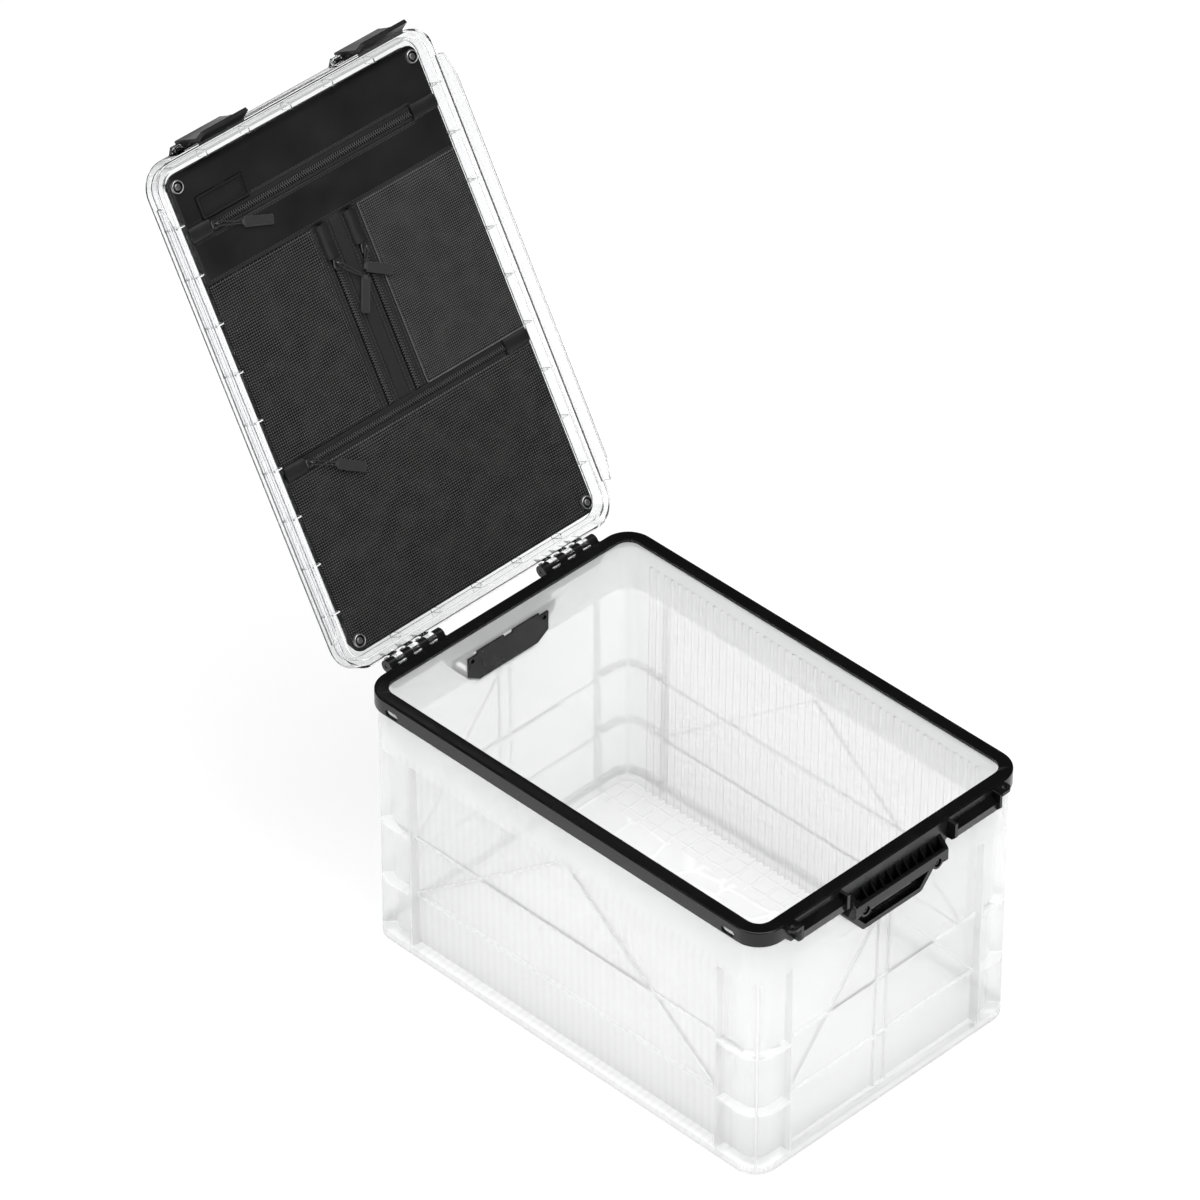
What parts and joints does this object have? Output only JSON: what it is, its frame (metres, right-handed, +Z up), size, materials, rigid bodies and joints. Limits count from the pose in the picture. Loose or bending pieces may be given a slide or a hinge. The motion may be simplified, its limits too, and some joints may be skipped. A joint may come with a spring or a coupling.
{
  "type": "storage crate",
  "caption": "Hinged storage crate for papers and keepsakes: translucent ribbed box, dark rim with end grips, clear latching lid with a zipped pocket organizer inside.",
  "frame": {"origin": "centre of the crate's underside, on the surface it stands on", "axes": "+Z up, +Y towards the hinge at the back, +X to the right seen from the front grip and keepers"},
  "size_m": [0.308, 0.6952, 0.6628],
  "materials": {
    "frosted_plastic": "frosted, translucent",
    "clear_plastic": "clear, glossy",
    "black_plastic": "satin",
    "dark_metal": "satin",
    "board": "matt",
    "smooth_leather": "smooth, matt",
    "woven_fabric": "coarse weave",
    "zip_tape": "woven tape with a plastic coil",
    "piping": "fine cord edge"
  },
  "bodies": {
    "crate": {"crate_body": "frosted_plastic", "rim_frame": "black_plastic", "front_grip_cover": "black_plastic", "rear_grip_cover": "black_plastic", "grip_screws": "dark_metal", "hinge_pin_left": "dark_metal", "hinge_pin_right": "dark_metal"},
    "lid": {"lid_shell": "clear_plastic", "organizer_board": "board", "board_screws": "dark_metal", "board_washers": "dark_metal", "upper_pocket_panel": "smooth_leather", "label_patch": "smooth_leather", "upper_zip": "zip_tape", "upper_zip_garages": "smooth_leather", "left_mesh_panel": "woven_fabric", "right_mesh_panel": "woven_fabric", "mesh_piping": "piping", "centre_strip": "smooth_leather", "left_zip": "zip_tape", "right_zip": "zip_tape", "left_zip_garage": "smooth_leather", "right_zip_garage": "smooth_leather", "lower_pocket_panel": "woven_fabric", "lower_zip": "zip_tape", "lower_zip_garages": "smooth_leather"},
    "latch_left": {"latch_left": "black_plastic"},
    "latch_right": {"latch_right": "black_plastic"},
    "upper_slider": {"upper_slider": "dark_metal"},
    "upper_pull": {"upper_pull": "black_plastic"},
    "left_slider": {"left_slider": "dark_metal"},
    "left_pull": {"left_pull": "black_plastic"},
    "right_slider": {"right_slider": "dark_metal"},
    "right_pull": {"right_pull": "black_plastic"},
    "lower_slider": {"lower_slider": "dark_metal"},
    "lower_pull": {"lower_pull": "black_plastic"}
  },
  "joints": [
    {"name": "lid_hinge", "type": "hinge", "parent": "crate", "child": "lid", "pos_m": [0, 0.2262, 0.249], "axis": [1, 0, 0], "range_deg": [0, 120]},
    {"name": "latch_left_turn", "type": "hinge", "parent": "lid", "child": "latch_left", "pos_m": [-0.08625, 0.45657, 0.63561], "axis": [-1, 0, 0], "range_deg": [0, 55]},
    {"name": "latch_right_turn", "type": "hinge", "parent": "lid", "child": "latch_right", "pos_m": [0.08625, 0.45657, 0.63561], "axis": [-1, 0, 0], "range_deg": [0, 55]},
    {"name": "upper_zip_slide", "type": "slide", "parent": "lid", "child": "upper_slider", "axis": [1, 0, 0], "range_m": [0, 0.18]},
    {"name": "upper_pull_lift", "type": "hinge", "parent": "upper_slider", "child": "upper_pull", "pos_m": [-0.107, 0.41985, 0.57968], "axis": [-0.3643, -0.4656, -0.8065], "range_deg": [0, 110]},
    {"name": "left_zip_slide", "type": "slide", "parent": "lid", "child": "left_slider", "axis": [0, -0.5, -0.866], "range_m": [0, 0.115]},
    {"name": "left_pull_lift", "type": "hinge", "parent": "left_slider", "child": "left_pull", "pos_m": [-0.0142, 0.38155, 0.51334], "axis": [-0.7268, -0.3434, -0.5948], "range_deg": [0, 110]},
    {"name": "right_zip_slide", "type": "slide", "parent": "lid", "child": "right_slider", "axis": [0, -0.5, -0.866], "range_m": [0, 0.115]},
    {"name": "right_pull_lift", "type": "hinge", "parent": "right_slider", "child": "right_pull", "pos_m": [0.0162, 0.38155, 0.51334], "axis": [-0.9285, 0.1857, 0.3216], "range_deg": [0, 110]},
    {"name": "lower_zip_slide", "type": "slide", "parent": "lid", "child": "lower_slider", "axis": [1, 0, 0], "range_m": [0, 0.19]},
    {"name": "lower_pull_lift", "type": "hinge", "parent": "lower_slider", "child": "lower_pull", "pos_m": [-0.108, 0.31635, 0.40041], "axis": [-0.4718, -0.4409, -0.7636], "range_deg": [0, 110]}
  ]
}
